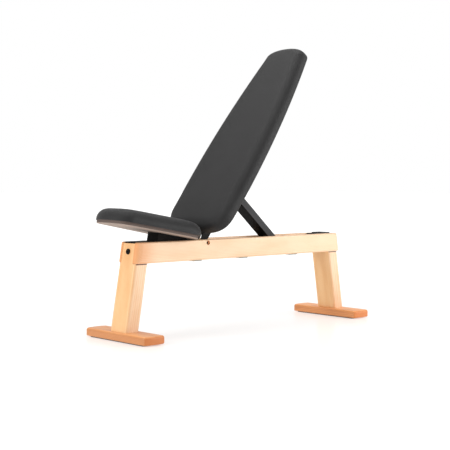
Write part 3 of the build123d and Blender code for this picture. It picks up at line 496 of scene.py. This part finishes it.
def section(thick, side, edge, crown, tuck, dip, fullness, tuck_rings=7, edge_rings=15):
    """Steps (inwards, height) of the pad's skin from the board to the end of the round edge.

    tuck: inwards = tuck (1 + cos a) / 2, height = -dip sin a, for a from 0 to pi; a straight side
    up to height side; edge: a superellipse ((edge - d) / edge)^q + (h / rise)^q = 1, where q is
    fullness, which ends at thick - crown.
    """
    a = np.linspace(0, np.pi, tuck_rings)
    low = np.stack([tuck * (1 + np.cos(a)) / 2, -dip * np.sin(a)], 1)
    rise = thick - crown - side
    t = np.linspace(0, np.pi / 2, edge_rings)
    inwards = edge * (1 - np.cos(t) ** (2 / fullness))
    height = side + rise * np.sin(t) ** (2 / fullness)
    return np.concatenate([low, np.stack([inwards, height], 1)])


# %% [markdown]
# The rings run from the board's edge up to the crown. Past the round edge they close in on a line
# along the middle, the spine, so that no ring ever crosses itself. The underside closes the same
# way. Points that fall together on the spine are merged, which leaves one watertight skin.

# %% Skin of a pad
def skin(name, loop, steps, thick, crown, place, low_widen, inner_rings=9, base_rings=6):
    """Closed mesh. Ring point = spine + (loop - spine) k, with k = 1 - d / |loop - spine|.

    The spine runs along the middle. It starts spine_stop times the largest half width after the
    low end, and stops spine_stop times the last tenth's half width before the high end. The round
    edge's steps d grow by low_widen at the low end, as 1 + low_widen (1 - x / low_reach)^2.
    Past the round edge k falls evenly to 0 and the height rises by crown (1 - k'^2), where k' is
    k over its value at the edge. place is (origin, along, across, above) in metres.
    """
    x, y = loop.T
    spine_stop, low_reach = 0.95, 0.1
    widen = 1 + low_widen * np.clip(1 - x / low_reach, 0, 1) ** 2
    half, high_half = np.abs(y).max(), np.abs(y[x > x.max() * 0.9]).max()
    low, high = x.min() + half * spine_stop, x.max() - high_half * spine_stop
    spine = np.stack([np.clip(x, low, high), 0 * x], 1)
    reach = np.linalg.norm(loop - spine, axis=1)
    k_edge = 1 - steps[:, :1] * widen / reach
    fall = np.linspace(1, 0, inner_rings + 1)[1:, None]
    k = np.concatenate([k_edge, k_edge[-1] * fall])
    heights = np.concatenate([steps[:, 1], (thick - crown) + crown * (1 - fall[:, 0] ** 2)])
    k = np.concatenate([k_edge[0] * np.linspace(0, 1, base_rings + 1)[:-1, None], k])
    heights = np.concatenate([np.zeros(base_rings), heights])
    flat = spine + (loop - spine) * k[:, :, None]
    origin, along, across, above = (np.array(v) for v in place)
    points = origin + flat[..., :1] * along + flat[..., 1:] * across
    points = points + heights[:, None, None] * above
    rows, columns = points.shape[:2]
    index = np.arange(rows * columns).reshape(rows, columns)
    turn = np.roll(index, -1, axis=1)
    faces = np.stack([index[:-1], turn[:-1], turn[1:], index[1:]], -1).reshape(-1, 4)
    mesh = bpy.data.meshes.new(name)
    mesh.from_pydata(points.reshape(-1, 3), [], faces)
    piece = bpy.data.objects.new(name, mesh)
    bpy.context.scene.collection.objects.link(piece)
    weld(mesh)
    return piece


def weld(mesh):
    """Merge points that fall together, drop faces without area, and turn every face outwards."""
    work = bmesh.new()
    work.from_mesh(mesh)
    bmesh.ops.remove_doubles(work, verts=work.verts, dist=0.00005)
    bmesh.ops.dissolve_degenerate(work, edges=work.edges, dist=0.00002)
    bmesh.ops.recalc_face_normals(work, faces=work.faces)
    work.to_mesh(mesh)
    work.free()
    mesh.shade_smooth()


# %% [markdown]
# ## Filling the pads
# Leather over foam is under tension: it bulges where it is free and stays put where it is tucked.
# A short cloth simulation gives that. Air pressure stands in for the foam, the rim against the
# board is pinned, and nothing may move further than a few millimetres, so the pad keeps its size.

# %% Cloth simulation
def even_out(mesh, move, rounds):
    """Replace every point's move by the mean of it and its neighbours' mean, rounds times."""
    pairs = np.empty(len(mesh.edges) * 2, dtype=np.int64)
    mesh.edges.foreach_get("vertices", pairs)
    pairs = pairs.reshape(-1, 2)
    ends = np.concatenate([pairs, pairs[:, ::-1]])
    count = np.bincount(ends[:, 0], minlength=len(move))[:, None]
    for _ in range(rounds):
        total = [np.bincount(ends[:, 0], move[ends[:, 1], i], len(move)) for i in range(3)]
        move = (move + np.stack(total, 1) / count) / 2
    return move


def fill(piece, above, base, pressure, cap, rim=0.004, soft_rim=0.012, frames=16, smoothing=24):
    """Blow the skin up from inside, then limit each point's move to cap metres and keep it.

    kept move = move / size * cap tanh(size / cap). Points lower than rim above the board are held
    fast, and those lower than soft_rim are held by half.
    """
    mesh = piece.data
    start = np.empty(len(mesh.vertices) * 3)
    mesh.vertices.foreach_get("co", start)
    start = start.reshape(-1, 3)
    height = (start - np.array(base)) @ np.array(above)
    held = piece.vertex_groups.new(name="held")
    held.add([int(i) for i in np.flatnonzero(height < rim)], 1.0, "REPLACE")
    held.add([int(i) for i in np.flatnonzero(height < soft_rim)], 0.5, "ADD")
    cloth = piece.modifiers.new("fill", "CLOTH")
    cloth.settings.quality = 4
    cloth.settings.vertex_group_mass = "held"
    cloth.settings.use_pressure = True
    cloth.settings.uniform_pressure_force = pressure
    cloth.settings.effector_weights.gravity = 0.0
    cloth.settings.tension_stiffness = 30
    cloth.settings.compression_stiffness = 30
    cloth.settings.bending_stiffness = 8
    cloth.collision_settings.use_collision = False
    scene = bpy.context.scene
    for number in range(1, frames + 1):
        scene.frame_set(number)
    made = piece.evaluated_get(bpy.context.evaluated_depsgraph_get()).to_mesh()
    blown = np.empty(len(made.vertices) * 3)
    made.vertices.foreach_get("co", blown)
    move = even_out(mesh, blown.reshape(-1, 3) - start, smoothing)
    size = np.linalg.norm(move, axis=1, keepdims=True)
    move = move * np.tanh(size / cap) * cap / np.maximum(size, 1e-9)
    piece.evaluated_get(bpy.context.evaluated_depsgraph_get()).to_mesh_clear()
    piece.modifiers.clear()
    mesh.vertices.foreach_set("co", (start + move).ravel())
    mesh.update()
    scene.frame_set(1)
    print(piece.name, "moved at most", round(float(size.max()) * 1000, 1), "mm, kept",
          round(float(np.linalg.norm(move, axis=1).max()) * 1000, 1), "mm")


def soften(piece):
    """One level of subdivision, the same in the view and in a render."""
    step = piece.modifiers.new("smooth", "SUBSURF")
    step.levels = step.render_levels = 1


# %% [markdown]
# Each pad takes its length and thickness from its CAD solid, in a frame that tilts with the pad.
# It starts a little thinner, and shorter at the end where the pads meet, so that the swelling ends
# at the solid's size and the two never touch when both stand at their steepest.

# %% Make both pads
def measure(piece, body):
    """Lowest and highest (along, across, above) of a piece in its pad's own frame."""
    hinge, along, above = pad_frames[body]
    points = np.empty(len(piece.data.vertices) * 3)
    piece.data.vertices.foreach_get("co", points)
    local = (points.reshape(-1, 3) - np.array(hinge)) @ np.array([along, (0, 1, 0), above]).T
    return local.min(0), local.max(0)


def pad(body, low_half, high_half, bow, low_end, high_end, edge, low_widen, tuck, dip, fullness,
        count):
    """The leather pad of one body, on its board, in the space of its CAD solid."""
    low, high = measure(nodes[body + "_pad"], body)
    hinge, along, above = pad_frames[body]
    length, thick = high[0] - low[0] - swell, high[2] - low[2]
    origin = hinge + along * (low[0] + swell) + above * low[2]
    loop = outline(length, low_half, high_half, bow, low_end, high_end, count)
    start_thick = thick - swell
    steps = section(start_thick, straight_side, edge, crown, tuck, dip, fullness)
    piece = skin(body + "_leather", loop, steps, start_thick, crown,
                 (origin, along, (0, 1, 0), above), low_widen)
    fill(piece, above, origin, pressure=2.0, cap=2 * swell)
    soften(piece)
    piece.data.materials.append(hide)
    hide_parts(body + "_pad")
    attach(piece, body)
    print(piece.name, "length", round(length, 3), "thickness", round(thick, 3), "points",
          len(piece.data.vertices), "and reaches",
          [np.round(corner, 4).tolist() for corner in measure(piece, body)], "where its solid has",
          [np.round(corner, 4).tolist() for corner in (low, high)])


swell, crown, straight_side = 0.0015, 0.001, 0.0075
pad("backrest", low_half=0.1670, high_half=0.0985, bow=0.0335, low_end=(0.100, 3.3),
    high_end=(0.044, 2.2), edge=0.036, low_widen=0.32, tuck=0.015, dip=0.007, fullness=2.4,
    count=360)
pad("seat", low_half=0.1455, high_half=0.1015, bow=0.0, low_end=(0.130, 2.95),
    high_end=(0.060, 2.2), edge=0.049, low_widen=0.04, tuck=0.0045, dip=0.0, fullness=2.0,
    count=220)


# %% [markdown]
# ## The floor
# The bench stands in a white studio. The floor is one large face that glows a little, so that it
# stays white in the distance and the shadows on it stay faint. It isn't part of the bench.

# %% Floor
def floor_finish():
    """White floor. It glows, more so away from the bench, so that shadows on it stay faint."""
    made = Finish("studio_floor", Specular_IOR_Level=0.12, Emission_Strength=1.0)
    cloud = made.noise(made.place(), size=0.8, detail=1.0)
    distance = made.node("VectorMath", {"operation": "LENGTH"}, {0: made.place()}, "Value")
    glow = made.mix(distance.between(0.7, 2.6), (0.422, 0.414, 0.410), (0.78, 0.78, 0.78))
    paint = made.mix(cloud, (0.57, 0.57, 0.57), (0.59, 0.59, 0.59))
    return made.set(Base_Color=paint, Roughness=0.22, Emission_Color=glow)


floor_mesh = bpy.data.meshes.new("floor")
half_floor = 30.0
corners = [(x * half_floor, y * half_floor, 0) for x, y in ((-1, -1), (1, -1), (1, 1), (-1, 1))]
floor_mesh.from_pydata(corners, [], [(0, 1, 2, 3)])
floor = bpy.data.objects.new("floor", floor_mesh)
floor_mesh.materials.append(floor_finish())
bpy.context.scene.collection.objects.link(floor)
print("floor", 2 * half_floor, "m square")


# %% [markdown]
# ## The light
# A broad lamp beside the bench lights its long side, a smaller one faces its front end, and a lamp
# above draws the soft shadows under the feet. The sky is white where it is seen and dimmer where it
# lights the bench, which keeps the blacks deep against a white background.

# %% Lamps and sky
def softbox(name, place, target, width, height, power):
    """Rectangular lamp that looks at a target."""
    lamp = bpy.data.objects.new(name, bpy.data.lights.new(name, "AREA"))
    lamp.data.shape = "RECTANGLE"
    lamp.data.size, lamp.data.size_y, lamp.data.energy = width, height, power
    lamp.location = place
    lamp.rotation_euler = (Vector(target) - Vector(place)).to_track_quat("-Z", "Y").to_euler()
    bpy.context.scene.collection.objects.link(lamp)
    print(name, power, "W,", width, "by", height, "m")


softbox("side_light", (3.3, -3.5, 1.6), target=(0, 0, 0.4), width=2.4, height=2.4, power=122)
softbox("front_light", (-4.2, 0.6, 1.6), target=(0, 0, 0.5), width=2.2, height=2.0, power=65)
softbox("top_light", (-0.2, 0.3, 3.6), target=(0, 0, 0), width=3.2, height=3.2, power=70)
world = bpy.data.worlds.new("studio")
world.use_nodes = True
sky = world.node_tree
sky.nodes["Background"].inputs["Color"].default_value = (1.0, 1.0, 1.0, 1.0)
rays = sky.nodes.new("ShaderNodeLightPath")
strength = sky.nodes.new("ShaderNodeMapRange")
strength.inputs["To Min"].default_value = 0.62
strength.inputs["To Max"].default_value = 1.0
sky.links.new(rays.outputs["Is Camera Ray"], strength.inputs["Value"])
sky.links.new(strength.outputs["Result"], sky.nodes["Background"].inputs["Strength"])
bpy.context.scene.world = world
bpy.context.scene.view_settings.view_transform = "Standard"
